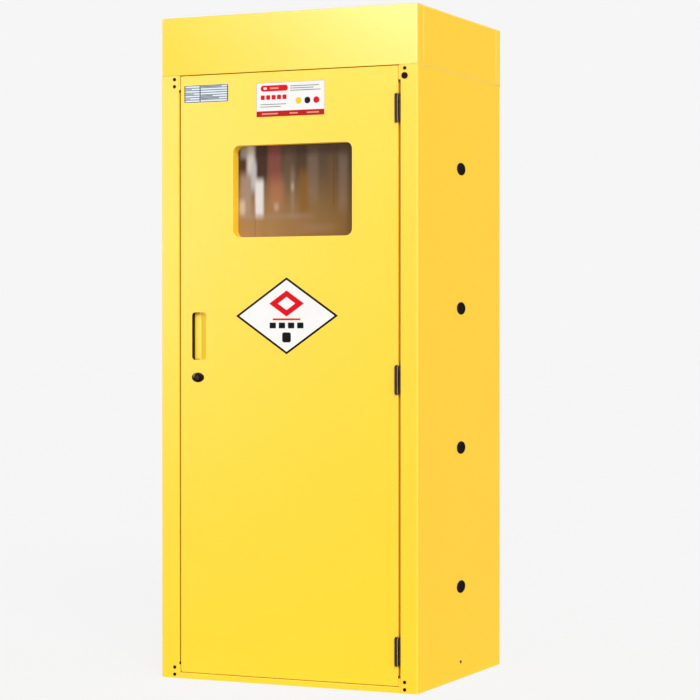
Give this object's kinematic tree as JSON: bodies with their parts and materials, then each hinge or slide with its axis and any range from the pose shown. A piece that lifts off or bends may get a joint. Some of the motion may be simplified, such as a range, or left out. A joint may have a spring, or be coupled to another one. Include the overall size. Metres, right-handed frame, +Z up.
{
  "type": "gas cylinder cabinet",
  "caption": "Tall double-walled steel cabinet for gas cylinders: one hinged door with a recessed window, pull and cam lock, plain hood, side plugs, inner cradles with a retaining bar.",
  "frame": {"origin": "on the floor, under the middle of the cabinet body's footprint", "axes": "+Z up, -Y out of the front where the door is, +X to the right of someone facing the door"},
  "size_m": [0.8041, 0.651, 1.94],
  "materials": {
    "yellow_paint": "bright yellow powder coat, satin",
    "inner_paint": "yellow powder coat, satin, duller than outside",
    "galvanised": "galvanised, dull",
    "black_zinc": "black coated, low gloss",
    "hinge_steel": "plain zinc plated",
    "lock_chrome": "polished",
    "black_rubber": "matt",
    "black_plastic": "moulded, slight sheen",
    "grey_plastic": "moulded",
    "window_glass": "clear, 4 mm safety glass"
  },
  "bodies": {
    "cabinet": {"left_side_panel": "yellow_paint", "right_side_panel": "yellow_paint", "back_panel": "yellow_paint", "base_pan": "yellow_paint", "bottom_rail": "yellow_paint", "top_rail": "yellow_paint", "roof_panel": "yellow_paint", "left_liner": "inner_paint", "right_liner": "inner_paint", "back_liner": "inner_paint", "roof_liner": "inner_paint", "sump_pan": "inner_paint", "floor_plate": "galvanised", "side_wall_channels": "galvanised", "back_wall_channels": "galvanised", "corner_gussets": "yellow_paint", "frame_screws": "black_zinc", "slotted_screw": "black_zinc", "door_seal": "black_rubber", "hood_front": "yellow_paint", "hood_left": "yellow_paint", "hood_right": "yellow_paint", "hood_back": "yellow_paint", "hood_lid": "yellow_paint", "exhaust_duct": "galvanised", "vent_grille": "inner_paint", "port_sleeves": "grey_plastic", "port_plugs": "black_plastic", "earth_screw": "hinge_steel", "hinge_frame_leaves": "black_zinc", "hinge_pins": "hinge_steel", "hinge_frame_screws": "hinge_steel", "lower_rail": "galvanised", "upper_rail": "galvanised", "lower_cradle": "galvanised", "upper_cradle": "galvanised", "cradle_trim": "black_rubber", "cradle_bolts": "hinge_steel", "bar_bracket": "galvanised", "bar_pin": "hinge_steel", "bar_catch": "galvanised"},
    "door": {"door_skin": "yellow_paint", "door_inner_panel": "yellow_paint", "door_stiffeners": "galvanised", "window_reveal": "yellow_paint", "window_glass": "window_glass", "window_gasket": "black_rubber", "window_retainer": "yellow_paint", "retainer_screws": "hinge_steel", "pull_cup": "yellow_paint", "lock_escutcheon": "black_zinc", "lock_housing": "lock_chrome", "lock_nut": "hinge_steel", "hinge_door_leaves": "black_zinc", "hinge_door_screws": "hinge_steel"},
    "lock": {"lock_barrel": "lock_chrome", "lock_cam": "hinge_steel", "cam_screw": "hinge_steel"},
    "retaining_bar": {"retaining_bar": "galvanised", "bar_knob": "black_plastic"}
  },
  "joints": [
    {"name": "door_hinge", "type": "hinge", "parent": "cabinet", "child": "door", "pos_m": [0.338, -0.3245, 0.87515], "axis": [0, 0, 1], "range_deg": [0, 120]},
    {"name": "lock_turn", "type": "hinge", "parent": "door", "child": "lock", "pos_m": [-0.282, -0.321, 0.867], "axis": [0, 1, 0], "range_deg": [0, 90]},
    {"name": "bar_lift", "type": "hinge", "parent": "cabinet", "child": "retaining_bar", "pos_m": [-0.326, -0.03, 1.025], "axis": [0, -1, 0], "range_deg": [0, 85]}
  ]
}
